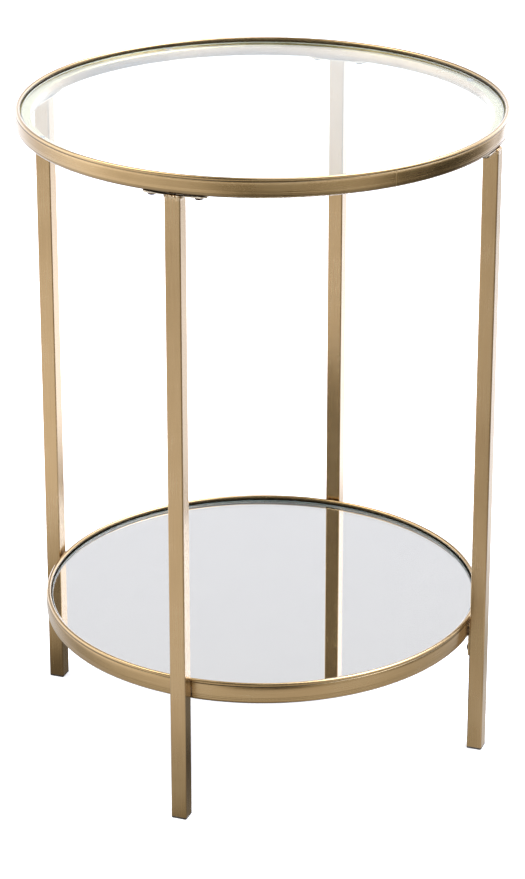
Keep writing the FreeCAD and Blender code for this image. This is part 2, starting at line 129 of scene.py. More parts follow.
# The plate screws. The face of a head is given by its radii, and dished by the length after them.
SCREW_CIRCLE = 0.2225
SCREW_SPACING = 0.044
HEAD_FACE = (0.0004, 0.0008, 0.0012, 0.0016, 0.0020, 0.0024, 0.0029, 0.0034)
HEAD_DISH = 0.0005
HEAD_ROUND = 0.0009
HEAD_ROUND_CENTRE = (0.0031, 0.0014)
HEAD_RADIUS = 0.0040
SHANK_RADIUS = 0.0020
SHANK_TIP_RADIUS = 0.0014
SHANK_TIP = 0.0006
RECESS_DEPTH = 0.0013
RECESS_REACH = 0.0024
RECESS_HALF_WIDTH = 0.00075
RECESS_STEEPNESS = 1.6

# The mirror
MIRROR_RADIUS = 0.208
MIRROR_EDGE = 0.001
FILM_RADIUS = 0.207
FILM_EDGE = 0.00006
FLAT_MARGIN = 0.0003
SILVER_GAP = 0.00005

CIRCLE_STEPS = 288
BAND_STEPS = 44
PLATE_STEPS = 56


def turned(point, angle):
    """The point turned round the table's axis by that many degrees."""
    cosine = math.cos(math.radians(angle))
    sine = math.sin(math.radians(angle))
    x, y, z = point
    return (x * cosine - y * sine, x * sine + y * cosine, z)


# ------------ nodes of materials

# The radius at which lengths round the table are measured, and the cosines between which an
# edge's wear starts and is full
ROLLED_RADIUS = 0.22
EDGE_COSINES = (0.99, 0.80)


def new_material(name):
    """A material with its node tree and its one shader."""
    material = bpy.data.materials.new(name)
    material.use_nodes = True
    tree = material.node_tree
    return material, tree, tree.nodes["Principled BSDF"]


def plug(tree, socket, value):
    """Links a socket to another, or sets its value."""
    if isinstance(value, bpy.types.NodeSocket):
        tree.links.new(value, socket)
    else:
        socket.default_value = value


def set_sockets(tree, node, **values):
    """Values or links on a node's named sockets."""
    for name, value in values.items():
        plug(tree, node.inputs[name.replace("_", " ")], value)


def add_node(tree, kind, settings=None, **values):
    """A node with its settings, and with values or links on its named sockets."""
    node = tree.nodes.new(kind)
    for name, value in (settings or {}).items():
        setattr(node, name, value)
    set_sockets(tree, node, **values)
    return node


def calculate(tree, operation, first, second=0.0):
    """The result of a function of one or two numbers."""
    node = add_node(tree, "ShaderNodeMath", {"operation": operation})
    plug(tree, node.inputs[0], first)
    plug(tree, node.inputs[1], second)
    return node.outputs[0]


def times(tree, first, second):
    """The product of two numbers."""
    return calculate(tree, "MULTIPLY", first, second)


def plus(tree, first, second):
    """The sum of two numbers."""
    return calculate(tree, "ADD", first, second)


def minus(tree, first, second):
    """The difference of two numbers."""
    return calculate(tree, "SUBTRACT", first, second)


def spread(tree, value, low, high, start=0.0, end=1.0):
    """A value from start to end, spread over low to high."""
    values = {"From_Min": start, "From_Max": end, "To_Min": low, "To_Max": high}
    return add_node(tree, "ShaderNodeMapRange", Value=value, **values).outputs[0]


def noise_on(tree, vector, scale, detail, roughness):
    """Noise from 0 to 1 at a scale in waves a metre."""
    values = {"Scale": scale, "Detail": detail, "Roughness": roughness}
    return add_node(tree, "ShaderNodeTexNoise", Vector=vector, **values).outputs[0]


def mix_colours(tree, amount, first, second):
    """One colour turning into another as the amount goes from 0 to 1."""
    node = add_node(tree, "ShaderNodeMix", {"data_type": "RGBA"})
    plug(tree, node.inputs[0], amount)
    plug(tree, node.inputs[6], first)
    plug(tree, node.inputs[7], second)
    return node.outputs[2]


def colour_ramp(tree, value, stops):
    """A colour for each value, from stops of position and colour."""
    node = add_node(tree, "ShaderNodeValToRGB", Fac=value)
    ramp = node.color_ramp
    while len(ramp.elements) < len(stops):
        ramp.elements.new(0.5)
    for element, (position, colour) in zip(ramp.elements, stops):
        element.position = position
        element.color = (*colour, 1.0)
    return node.outputs[0]


def place_on(tree):
    """The place of a point on the object."""
    return add_node(tree, "ShaderNodeTexCoord").outputs["Object"]


def face_direction(tree):
    """The direction that the surface looks in."""
    return add_node(tree, "ShaderNodeNewGeometry").outputs["Normal"]


def parts_of(tree, vector):
    """The x, y and z of a place or a direction."""
    return add_node(tree, "ShaderNodeSeparateXYZ", Vector=vector).outputs


def vector_node(tree, operation, first, second):
    """A node that works on two vectors."""
    node = add_node(tree, "ShaderNodeVectorMath", {"operation": operation})
    plug(tree, node.inputs[0], first)
    plug(tree, node.inputs[1], second)
    return node


def stretched(tree, vector, scale):
    """A place with its axes scaled one by one."""
    return vector_node(tree, "MULTIPLY", vector, scale).outputs[0]


def likeness(tree, first, second):
    """The cosine of the angle between two directions."""
    return vector_node(tree, "DOT_PRODUCT", first, second).outputs["Value"]


def distance_of(tree, x, y):
    """How far a point lies from the axis that x and y are measured from."""
    squares = plus(tree, times(tree, x, x), times(tree, y, y))
    return calculate(tree, "SQRT", squares)


def rolled_place(tree):
    """The place of a point by distance from the axis, length round the table and height."""
    x, y, z = parts_of(tree, place_on(tree))
    radius = distance_of(tree, x, y)
    around = times(tree, calculate(tree, "ARCTAN2", y, x), ROLLED_RADIUS)
    return add_node(tree, "ShaderNodeCombineXYZ", X=radius, Y=around, Z=z).outputs[0]


def edge_wear(tree, radius):
    """A mask from 0 on flat faces to 1 on edges, within a radius."""
    rounded = add_node(tree, "ShaderNodeBevel", {"samples": 4}, Radius=radius).outputs[0]
    return spread(tree, likeness(tree, rounded, face_direction(tree)), 0.0, 1.0, *EDGE_COSINES)


def bumps(tree, heights):
    """A normal bent by heights, each given with its depth in metres."""
    normal = None
    for height, depth in heights:
        node = add_node(tree, "ShaderNodeBump", Height=height, Distance=depth)
        if normal is not None:
            tree.links.new(normal, node.inputs["Normal"])
        normal = node.outputs[0]
    return normal


def finish(tree, shader, colour, rough, heights, **more):
    """Colour, roughness, bumps and what else a shader needs."""
    normal = bumps(tree, heights)
    set_sockets(tree, shader, Base_Color=colour, Roughness=rough, Normal=normal, **more)


# ------------ finishes

GOLD_MAIN = (0.405, 0.270, 0.121)
GOLD_TONES = ((0.350, 0.225, 0.094), GOLD_MAIN, (0.455, 0.318, 0.160))
RING_TONES = ((0.345, 0.222, 0.088), (0.400, 0.266, 0.112), (0.450, 0.315, 0.150))
PLATE_TONES = ((0.500, 0.420, 0.310), (0.580, 0.510, 0.400), (0.660, 0.600, 0.500))
GOLD_WORN = (0.600, 0.475, 0.300)
# Painted shade: dark gold laid in the groove under a ring's lip, on the wall behind the lip and under
# the top ring
PAINTED_SHADE_GOLD = (0.062, 0.046, 0.024)
# Painted light: a pale tone laid in the channel under the top glass, for how its ledge looks through the
# pane
CHANNEL_PAINTED_LIGHT = (0.610, 0.550, 0.300)

# Painted shade and painted light on the rings. A share is how far the gold turns to the painted
# shade tone, and lengths are measured from the form that the mark follows.
GROOVE_SHARE = 0.75
GROOVE_HALF = 0.0002
GROOVE_SOFTNESS = 0.0005
GROOVE_REACH = 0.0015
WALL_OUTWARD = (0.0001, 0.0005)
WALL_UPWARD = (-0.0003, 0.0013)
WALL_FOOT = 0.0008
WALL_BACK = 0.0004
UNDERSIDE_SHARE = 0.55
UNDERSIDE_BELOW = 0.001
UNDERSIDE_ABOVE = 0.0030
UNDERSIDE_SOFTNESS = 0.0022
CHANNEL_MARGIN = 0.0002
CHANNEL_TOP = 0.0012
CHANNEL_SOFTNESS = 0.0003

# A leg's end grows rough between these lengths below its top
WELDED_END = (0.0042, 0.0012)
SCAR_SHARE = 0.75
SCAR_DEPTH = 0.0005

# The clear coat on the gold, and the grain's waves a metre along the axes of its place
COAT_WEIGHT = 0.7
COAT_ROUGHNESS = 0.18
COAT_IOR = 1.6
GRAIN_UPRIGHT = (1500.0, 1500.0, 22.0)
GRAIN_ROUND = (1500.0, 22.0, 1500.0)
GRAIN_GROUND = (1800.0, 900.0, 1800.0)


def between(tree, value, low, high, soft):
    """A mask of the values from low to high, with soft ends."""
    rising = spread(tree, value, 0.0, 1.0, low - soft, low)
    falling = spread(tree, value, 1.0, 0.0, high, high + soft)
    return times(tree, rising, falling)


def lip_radius(node):
    """The distance from the axis to the inner side of a ring's lip."""
    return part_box(node)[1].x - RING_CAMBER - 2 * LIP_ROUND


def groove_height(node):
    """The height of the groove between a ring's band and its lip."""
    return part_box(node)[1].z - LIP_ROUND * (1.0 + math.sin(math.radians(LIP_GROOVE)))


def lip_painted_shade(tree, radius, height, node, pane):
    """Masks of painted shade in a ring's groove and on the wall inside its lip, where its pane lies."""
    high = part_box(node)[1]
    groove = groove_height(node)
    # Painted shade along the groove and on the wall behind the lip
    line = between(tree, height, groove - GROOVE_HALF, groove + GROOVE_HALF, GROOVE_SOFTNESS)
    line = times(tree, line, calculate(tree, "GREATER_THAN", radius, high.x - GROOVE_REACH))
    lip = lip_radius(node)
    middle = high.z - LIP_ROUND
    inward = spread(tree, radius, 1.0, 0.0, *(lip + length for length in WALL_OUTWARD))
    low = spread(tree, height, 1.0, 0.0, *(middle + length for length in WALL_UPWARD))
    above = calculate(tree, "GREATER_THAN", height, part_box(pane)[1].z - WALL_FOOT)
    wall = times(tree, times(tree, inward, low), above)
    outside = calculate(tree, "GREATER_THAN", radius, lip - WALL_BACK)
    return times(tree, line, GROOVE_SHARE), times(tree, wall, outside)


def ring_painted_shade_and_light(tree):
    """Masks on the rings, each with its tone: a pale tone painted in the channel under the glass, and
    painted shade.

    The painted shade darkens the wall behind a lip, the groove below it and the top ring's underside.
    """
    radius, _, height = parts_of(tree, rolled_place(tree))
    painted_shade_mask = 0.0
    for node, pane in RINGS:
        for mask in lip_painted_shade(tree, radius, height, node, pane):
            painted_shade_mask = calculate(tree, "MAXIMUM", painted_shade_mask, mask)
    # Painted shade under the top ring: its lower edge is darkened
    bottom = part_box("top_ring")[0].z
    under = between(tree, height, bottom - UNDERSIDE_BELOW, bottom + UNDERSIDE_ABOVE, UNDERSIDE_SOFTNESS)
    painted_shade_mask = calculate(tree, "MAXIMUM", painted_shade_mask, times(tree, under, UNDERSIDE_SHARE))
    # A pale tone painted in the channel under the top glass, standing in for the light its ledge shows
    # through the pane
    lip = lip_radius("top_ring")
    pane_low, pane_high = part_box("glass_top")
    across = between(tree, radius, lip - RING_WIDTH, lip + CHANNEL_MARGIN, CHANNEL_MARGIN)
    floor = pane_low.z - LEDGE_UNDER_PANE - CHANNEL_MARGIN
    along = between(tree, height, floor, pane_high.z - CHANNEL_TOP, CHANNEL_SOFTNESS)
    return ((times(tree, across, along), CHANNEL_PAINTED_LIGHT), (painted_shade_mask, PAINTED_SHADE_GOLD))


def welded_end(tree):
    """A mask over the end of a leg that was welded to its plate."""
    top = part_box("leg_front")[1].z
    height = parts_of(tree, place_on(tree))[2]
    return spread(tree, height, 0.0, 1.0, *(top - below for below in WELDED_END))


def gold_finish(name, place, grain_scale, roughness=0.25, peel_depth=0.000012, marks=None, welded=None,
                tones=GOLD_TONES, wear=1.0):
    """Satin gold plating on steel, with the grain of its drawing or rolling."""
    material, tree, shader = new_material(name)
    place = place(tree)
    grain = noise_on(tree, stretched(tree, place, grain_scale), 1.0, 4.0, 0.62)
    patches = noise_on(tree, place, 14.0, 3.0, 0.55)
    peel = noise_on(tree, place, 750.0, 2.0, 0.5)
    shade = plus(tree, times(tree, grain, 0.45), times(tree, patches, 0.55))
    plated = colour_ramp(tree, shade, tuple(zip((0.30, 0.50, 0.72), tones)))
    rubbed = times(tree, edge_wear(tree, 0.0007), spread(tree, patches, 0.15, 0.75, 0.35, 0.65))
    colour = mix_colours(tree, times(tree, rubbed, wear), plated, (*GOLD_WORN, 1.0))
    coat = COAT_WEIGHT
    # Each mask paints its tone into the colour, painted shade or painted light on the rings, and takes
    # the clear coat off where it lies
    for mask, tone in marks(tree) if marks else ():
        colour = mix_colours(tree, mask, colour, (*tone, 1.0))
        coat = times(tree, coat, minus(tree, 1.0, mask))
    heights = [(grain, 0.000006), (peel, peel_depth)]
    if welded:
        runs = noise_on(tree, place_on(tree), 520.0, 3.0, 0.6)
        scar = times(tree, welded(tree), spread(tree, runs, 0.0, 1.0, 0.38, 0.62))
        colour = mix_colours(tree, times(tree, scar, SCAR_SHARE), colour, (*GOLD_WORN, 1.0))
        heights.append((scar, SCAR_DEPTH))
    fine = spread(tree, grain, roughness - 0.06, roughness + 0.06)
    rough = plus(tree, fine, spread(tree, patches, -0.05, 0.05, 0.3, 0.7))
    coating = {"Coat_Weight": coat, "Coat_Roughness": COAT_ROUGHNESS, "Coat_IOR": COAT_IOR}
    finish(tree, shader, colour, rough, heights, Metallic=1.0, **coating)
    return material


BRIGHT_WELD = (
    (0.36, (0.13, 0.075, 0.038)), (0.46, (0.36, 0.22, 0.10)),
    (0.56, GOLD_WORN), (0.66, (0.82, 0.72, 0.56)),
)
# Painted shade: the darker tones of the tab welds, which sit in the shade beside the legs
TAB_WELD_PAINTED_SHADE = (
    (0.36, (0.040, 0.024, 0.014)), (0.50, (0.090, 0.055, 0.030)), (0.66, (0.190, 0.120, 0.066)),
)


def weld_finish(name, tones):
    """Gold plating over a rough bead, duller in its hollows."""
    material, tree, shader = new_material(name)
    place = place_on(tree)
    scale = noise_on(tree, place, 1400.0, 3.0, 0.6)
    soot = noise_on(tree, place, 620.0, 2.0, 0.5)
    rough = spread(tree, scale, 0.14, 0.36, 0.3, 0.7)
    tone = colour_ramp(tree, soot, tones)
    finish(tree, shader, tone, rough, ((scale, 0.00006), (soot, 0.00016)), Metallic=1.0)
    return material


def screw_finish():
    """Dark passivated zinc, which turns from brown to rose and green."""
    material, tree, shader = new_material("passivated_zinc")
    place = place_on(tree)
    film = noise_on(tree, place, 420.0, 2.0, 0.5)
    stain = noise_on(tree, place, 1500.0, 3.0, 0.6)
    tint = colour_ramp(tree, film, (
        (0.30, (0.022, 0.017, 0.011)), (0.45, (0.040, 0.024, 0.016)),
        (0.58, (0.050, 0.023, 0.018)), (0.72, (0.028, 0.026, 0.018)),
    ))
    rough = spread(tree, stain, 0.24, 0.46, 0.3, 0.7)
    finish(tree, shader, tint, rough, ((stain, 0.00002),), Metallic=1.0)
    return material


def bolt_finish():
    """Gold lacquer on a dome head, worn where the driver's rim rubbed it; its dark tones are painted
    shade.
    """
    material, tree, shader = new_material("gold_bolt")
    place = place_on(tree)
    film = noise_on(tree, place, 380.0, 3.0, 0.55)
    speck = noise_on(tree, place, 1700.0, 2.0, 0.5)
    # Painted shade: the bolt heads' gold is darkened for the shade they sit in under the shelf
    tint = colour_ramp(tree, film, ((0.3, (0.018, 0.012, 0.008)), (0.7, (0.048, 0.031, 0.019))))
    rubbed = times(tree, edge_wear(tree, 0.0005), 0.1)
    colour = mix_colours(tree, rubbed, tint, (*GOLD_MAIN, 1.0))
    rough = spread(tree, speck, 0.22, 0.42, 0.3, 0.7)
    finish(tree, shader, colour, rough, ((speck, 0.00002),), Metallic=1.0)
    return material


def steel_finish():
    """Plain steel of a nut, with turning marks and a dull film."""
    material, tree, shader = new_material("bare_steel")
    place = place_on(tree)
    marks = noise_on(tree, stretched(tree, place, (300.0, 300.0, 5200.0)), 1.0, 2.0, 0.5)
    film = noise_on(tree, place, 350.0, 3.0, 0.6)
    tone = colour_ramp(tree, film, ((0.3, (0.24, 0.235, 0.225)), (0.7, (0.42, 0.415, 0.40))))
    rough = spread(tree, film, 0.26, 0.5, 0.3, 0.7)
    finish(tree, shader, tone, rough, ((marks, 0.00001), (film, 0.00002)), Metallic=1.0)
    return material


def plastic_finish():
    """Dark moulded plastic with a fine spark texture, scuffed where it meets the floor."""
    material, tree, shader = new_material("moulded_plastic")
    place = place_on(tree)
    texture = noise_on(tree, place, 2600.0, 2.0, 0.5)
    cloud = noise_on(tree, place, 160.0, 3.0, 0.55)
    near_floor = spread(tree, parts_of(tree, place)[2], 1.0, 0.0, 0.0, 0.0022)
    scuffed = times(tree, near_floor, spread(tree, cloud, 0.0, 0.6, 0.4, 0.7))
    body = colour_ramp(tree, cloud, ((0.3, (0.016, 0.012, 0.010)), (0.7, (0.030, 0.024, 0.020))))
    body = mix_colours(tree, scuffed, body, (0.085, 0.075, 0.066, 1.0))
    body = mix_colours(tree, times(tree, edge_wear(tree, 0.0006), 0.4), body, (0.09, 0.08, 0.07, 1.0))
    rough = plus(tree, spread(tree, texture, 0.40, 0.60, 0.3, 0.7), times(tree, scuffed, 0.25))
    finish(tree, shader, body, rough, ((texture, 0.00003),))
    return material


def rubber_finish():
    """Clear soft bumper with a little haze and dust."""
    material, tree, shader = new_material("clear_bumper")
    haze = noise_on(tree, place_on(tree), 900.0, 3.0, 0.55)
    tint = colour_ramp(tree, haze, ((0.3, (0.86, 0.87, 0.84)), (0.7, (0.96, 0.96, 0.94))))
    rough = spread(tree, haze, 0.08, 0.26, 0.3, 0.7)
    finish(tree, shader, tint, rough, ((haze, 0.00002),), Transmission_Weight=0.9, IOR=1.48)
    return material


def glass_finish(name, tint, density, rim):
    """Float glass with a ground edge: clear faces, a frosted rim and a tinted body."""
    material, tree, shader = new_material(name)
    upward = parts_of(tree, face_direction(tree))[2]
    upright = spread(tree, calculate(tree, "ABSOLUTE", upward), 1.0, 0.0, 0.90, 0.995)
    ground = noise_on(tree, rolled_place(tree), 2400.0, 3.0, 0.6)
    smear = noise_on(tree, place_on(tree), 11.0, 4.0, 0.6)
    rough_rim = times(tree, upright, spread(tree, ground, 0.30, 0.55, 0.3, 0.7))
    touched = spread(tree, smear, 0.0, 0.018, 0.45, 0.75)
    colour = mix_colours(tree, upright, (0.98, 0.99, 0.985, 1.0), (*rim, 1.0))
    depth = times(tree, upright, ground)
    clear = spread(tree, upright, 1.0, 0.12)
    rough = plus(tree, rough_rim, touched)
    finish(tree, shader, colour, rough, ((depth, 0.00002),), Transmission_Weight=clear, IOR=1.52)
    body = add_node(tree, "ShaderNodeVolumeAbsorption", Color=tint, Density=density)
    tree.links.new(body.outputs[0], tree.nodes["Material Output"].inputs["Volume"])
    return material


def silver_finish():
    """The silvered film: bright on its upper side, painted grey below and round its edge."""
    material, tree, shader = new_material("silver_film")
    silvered = spread(tree, parts_of(tree, face_direction(tree))[2], 0.0, 1.0, 0.5, 0.9)
    place = place_on(tree)
    brushed = noise_on(tree, stretched(tree, place, (30.0, 900.0, 900.0)), 1.0, 3.0, 0.6)
    cloud = noise_on(tree, place, 24.0, 4.0, 0.6)
    mottle = times(tree, plus(tree, brushed, cloud), 0.5)
    paint = colour_ramp(tree, mottle, ((0.38, (0.20, 0.21, 0.22)), (0.62, (0.30, 0.31, 0.32))))
    bright = colour_ramp(tree, cloud, ((0.3, (0.945, 0.935, 0.965)), (0.7, (0.960, 0.950, 0.975))))
    colour = mix_colours(tree, silvered, paint, bright)
    kept = minus(tree, 1.0, silvered)
    dull = times(tree, spread(tree, brushed, 0.42, 0.62, 0.3, 0.7), kept)
    rough = plus(tree, dull, spread(tree, cloud, 0.0, 0.012, 0.4, 0.8))
    depth = times(tree, kept, brushed)
    finish(tree, shader, colour, rough, ((depth, 0.00004),), Metallic=silvered)
    return material


# ------------ meshes


def mesh_object(name, points, faces, material, smooth_angle=35.0, closed=True):
    """A new object from points and faces, smooth but for its sharp edges."""
    mesh = bpy.data.meshes.new(name)
    mesh.from_pydata([tuple(p) for p in points], [], faces)
    mesh.validate()
    if closed:
        surface = bmesh.new()
        surface.from_mesh(mesh)
        bmesh.ops.recalc_face_normals(surface, faces=surface.faces)
        surface.to_mesh(mesh)
        surface.free()
    mesh.polygons.foreach_set("use_smooth", [True] * len(mesh.polygons))
    mesh.set_sharp_from_angle(angle=math.radians(smooth_angle))
    mesh.materials.append(material)
    piece = bpy.data.objects.new(name, mesh)
    bpy.context.scene.collection.objects.link(piece)
    return piece


def angles_round(steps):
    """The angles of that many steps round a circle, in radians."""
    return [2 * math.pi * step / steps for step in range(steps)]


def on_circle(radius, angle, height):
    """The point at a distance from the axis, an angle round it in radians and a height."""
    return (radius * math.cos(angle), radius * math.sin(angle), height)


def spun_faces(rows, steps):
    """The faces of rows of points round an axis, between two points on it."""
    faces = []
    for step in range(steps):
        after = (step + 1) % steps
        faces.append((0, 1 + after, 1 + step))
        for row in range(rows - 1):
            low = 1 + row * steps
            high = low + steps
            faces.append((low + step, low + after, high + after, high + step))
        top = 1 + (rows - 1) * steps
        faces.append((top + step, top + after, top + steps))
    return faces


def tube_faces(rows, around):
    """The faces of a tube of rows of points, closed at both ends."""
    last = (rows - 1) * around
    faces = [tuple(range(around)), tuple(reversed(range(last, last + around)))]
    for row in range(rows - 1):
        for column in range(around):
            first = row * around + column
            second = row * around + (column + 1) % around
            faces.append((first, second, second + around, first + around))
    return faces


def lathe(name, outline, material):
    """A disc turned round the table's axis from an outline of (radius, height), from axis to axis."""
    rim = outline[1:-1]
    points = [(0.0, 0.0, outline[0][1])]
    for radius, height in rim:
        points += [on_circle(radius, angle, height) for angle in angles_round(CIRCLE_STEPS)]
    points.append((0.0, 0.0, outline[-1][1]))
    return mesh_object(name, points, spun_faces(len(rim), CIRCLE_STEPS), material)


def arc(centre, radius, start, end, steps=5):
    """Points of (radius, height) on an arc from one angle to another, in degrees."""
    found = []
    for step in range(steps + 1):
        angle = math.radians(start + (end - start) * step / steps)
        found.append((centre[0] + radius * math.cos(angle), centre[1] + radius * math.sin(angle)))
    return found


def run(start, end, steps):
    """The points of a straight line in that many steps."""
    return [tuple(a + (b - a) * step / steps for a, b in zip(start, end)) for step in range(steps + 1)]


def disc_outline(radius, bottom, top, rounding):
    """The outline of a pane with rounded edges, held flat close to them."""
    side = radius - rounding
    flat = side - FLAT_MARGIN
    return (
        [(0.0, bottom), (flat * 0.5, bottom), (flat, bottom)]
        + arc((side, bottom + rounding), rounding, -90, 0)
        + arc((side, top - rounding), rounding, 0, 90)
        + [(flat, top), (flat * 0.5, top), (0.0, top)]
    )


def ring_section(node, pane):
    """The closed outline of a ring, from its inner wall down, round its band and over its lip."""
    low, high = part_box(node)
    outer, bottom, top = high.x - RING_CAMBER, low.z, high.z
    inner = high.x - RING_WIDTH
    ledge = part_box(pane)[0].z - LEDGE_UNDER_PANE
    lip = outer - 2 * LIP_ROUND
    band_low = bottom + RING_CORNER
    band_high = groove_height(node)
    band = []
    for step in range(1, BAND_STEPS):
        part = 2.0 * step / BAND_STEPS - 1.0
        level = (band_low + band_high) / 2 + part * (band_high - band_low) / 2
        radius = outer + RING_CAMBER * (1.0 - part ** 4)
        for crease in RING_CREASES:
            radius -= CREASE_DEPTH * math.exp(-((level - bottom - crease) / CREASE_WIDTH) ** 2)
        band.append((radius, level))
    return (
        arc((inner + LEDGE_CORNER, bottom + LEDGE_CORNER), LEDGE_CORNER, 180, 270)
        + arc((outer - RING_CORNER, bottom + RING_CORNER), RING_CORNER, -90, 0, 9)
        + band
        + arc((outer - LIP_ROUND, top - LIP_ROUND), LIP_ROUND, -LIP_GROOVE, 180, 18)
        + arc((lip - LIP_ROOT, ledge + LIP_ROOT), LIP_ROOT, 0, -90)
        + arc((inner + LEDGE_CORNER, ledge - LEDGE_CORNER), LEDGE_CORNER, 90, 180)
    )


def turned_ring(name, section, material):
    """A ring turned round the table's axis from a closed outline of (radius, height)."""
    rows = len(section)
    points = []
    faces = []
    for step, angle in enumerate(angles_round(CIRCLE_STEPS)):
        points += [on_circle(radius, angle, level) for radius, level in section]
        this = step * rows
        after = (step + 1) % CIRCLE_STEPS * rows
        for row in range(rows):
            above = (row + 1) % rows
            faces.append((this + row, after + row, after + above, this + above))
    return mesh_object(name, points, faces, material, 30.0)


def divided(outline, most):
    """The outline with points added so that no run is longer than most."""
    found = [outline[0]]
    for start, end in zip(outline, outline[1:]):
        length = math.dist(start, end)
        if length < 1e-6:
            continue
        found += run(start, end, max(1, math.ceil(length / most)))[1:]
    return found


def seam_points(outline, angle):
    """A ground seam weld across a ring: a low, uneven ridge along the outline, closed inside."""
    outline = divided(outline, SEAM_STEP)
    top = max(level for _, level in outline)
    points = []
    for index, (radius, level) in enumerate(outline):
        before = outline[max(0, index - 1)]
        after = outline[min(len(outline) - 1, index + 1)]
        along = Vector((after[0] - before[0], after[1] - before[1])).normalized()
        out = Vector((along.y, -along.x))
        for column in range(BEAD_COLUMNS):
            across = 2.0 * column / (BEAD_COLUMNS - 1) - 1.0
            spot = Vector((level * SEAM_WAVES, across * 1.4 + angle, radius * SEAM_WAVES))
            wave = noise.noise(spot)
            spot = Vector((radius * SEAM_WANDER_WAVES, level * SEAM_WANDER_WAVES, angle + 7.0))
            wander = SEAM_WANDER * noise.noise(spot)
            flush = min(1.0, max(0.0, (top - SEAM_BELOW_TOP - level) / SEAM_FADE))
            rise = SEAM_HEIGHT * (1.0 - across * across) * (0.75 + 0.5 * wave) * flush - SEAM_SUNK
            side = across * SEAM_HALF_WIDTH * (1.0 + 0.3 * wave) + wander
            points.append(turned((side, -(radius + out.x * rise), level + out.y * rise), angle))
        for side in (SEAM_HALF_WIDTH * 0.8, -SEAM_HALF_WIDTH * 0.8):
            root = (side, -(radius - out.x * SEAM_ROOT), level - out.y * SEAM_ROOT)
            points.append(turned(root, angle))
    return points, tube_faces(len(outline), BEAD_COLUMNS + 2)


def join_parts(parts):
    """The points and faces of several parts as one list of each."""
    points = []
    faces = []
    for part_points, part_faces in parts:
        first = len(points)
        points += part_points
        faces += [tuple(first + corner for corner in face) for face in part_faces]
    return points, faces


def bead_rows(path, wall, cover, size, seed, ripple):
    """A convex fillet bead along a path, between a wall and its cover, with the welder's ripples."""
    rows = []
    length = 0.0
    for index, place in enumerate(path):
        length += math.dist(path[index - 1], place) if index else 0.0
        near_end = min(1.0, min(index, len(path) - 1 - index) / BEAD_END_STEPS)
        taper = BEAD_END_SHARE + (1.0 - BEAD_END_SHARE) * math.sin(near_end * math.pi / 2)
        ring = BEAD_RIPPLE * abs(math.sin(math.pi * length / ripple))
        lump = BEAD_LUMPS[0] * noise.noise(Vector((length * BEAD_LUMPS[1], seed, 0.0)))
        row = []
        for column in range(BEAD_COLUMNS):
            angle = math.pi / 2 * column / (BEAD_COLUMNS - 1)
            spot = Vector((length * BEAD_ROUGHNESS[1], angle * 2.0, seed + 3.0))
            rough = BEAD_ROUGHNESS[0] * noise.noise(spot)
            reach = size * taper * (BEAD_BODY + ring + lump + rough)
            out = Vector(place) + wall * (reach * math.cos(angle))
            row.append(out + cover * (reach * math.sin(angle)))
        rows.append(row)
    return rows


def bead_mesh(path, wall, cover, size, seed, ripple=RIPPLE_LENGTH):
    """The closed mesh of a bead. wall and cover point away from the corner that it fills."""
    wall = Vector(wall)
    cover = Vector(cover)
    points = []
    for place, row in zip(path, bead_rows(path, wall, cover, size, seed, ripple)):
        points += [tuple(p) for p in row]
        points.append(tuple(Vector(place) - (wall + cover) * BEAD_ROOT))
    return points, tube_faces(len(path), BEAD_COLUMNS + 1)


def droplet(centre, out, radius):
    """A drop of weld spatter lying on a face."""
    out = Vector(out)
    first = out.orthogonal().normalized()
    second = out.cross(first)
    steps = 8
    points = []
    for wide, rise in DROP_ROWS:
        for angle in angles_round(steps):
            side = first * math.cos(angle) + second * math.sin(angle)
            points.append(tuple(Vector(centre) + (side * wide + out * rise) * radius))
    points.append(tuple(Vector(centre) + out * DROP_TOP * radius))
    faces = tube_faces(len(DROP_ROWS), steps)
    faces.pop(1)
    top = (len(DROP_ROWS) - 1) * steps
    faces += [(top + step, top + (step + 1) % steps, top + steps) for step in range(steps)]
    return points, faces


def turned_part(part, angle):
    """A part's points and faces, turned round the table's axis."""
    points, faces = part
    return [turned(point, angle) for point in points], faces


# ------------ pieces


def make_mirror(glass, film):
    """The mirror: a pane of glass over its silvered and painted film."""
    pane_low, pane_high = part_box("shelf_mirror")
    film_low, film_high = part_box("mirror_backing")
    bottom = pane_low.z + SILVER_GAP
    pane = lathe("mirror_pane", disc_outline(MIRROR_RADIUS, bottom, pane_high.z, MIRROR_EDGE), glass)
    outline = disc_outline(FILM_RADIUS, film_low.z, film_high.z, FILM_EDGE)
    backing = lathe("silver_backing", outline, film)
    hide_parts("shelf_mirror")
    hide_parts("mirror_backing")
    for piece in (pane, backing):
        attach(piece, "mirror")
    return pane


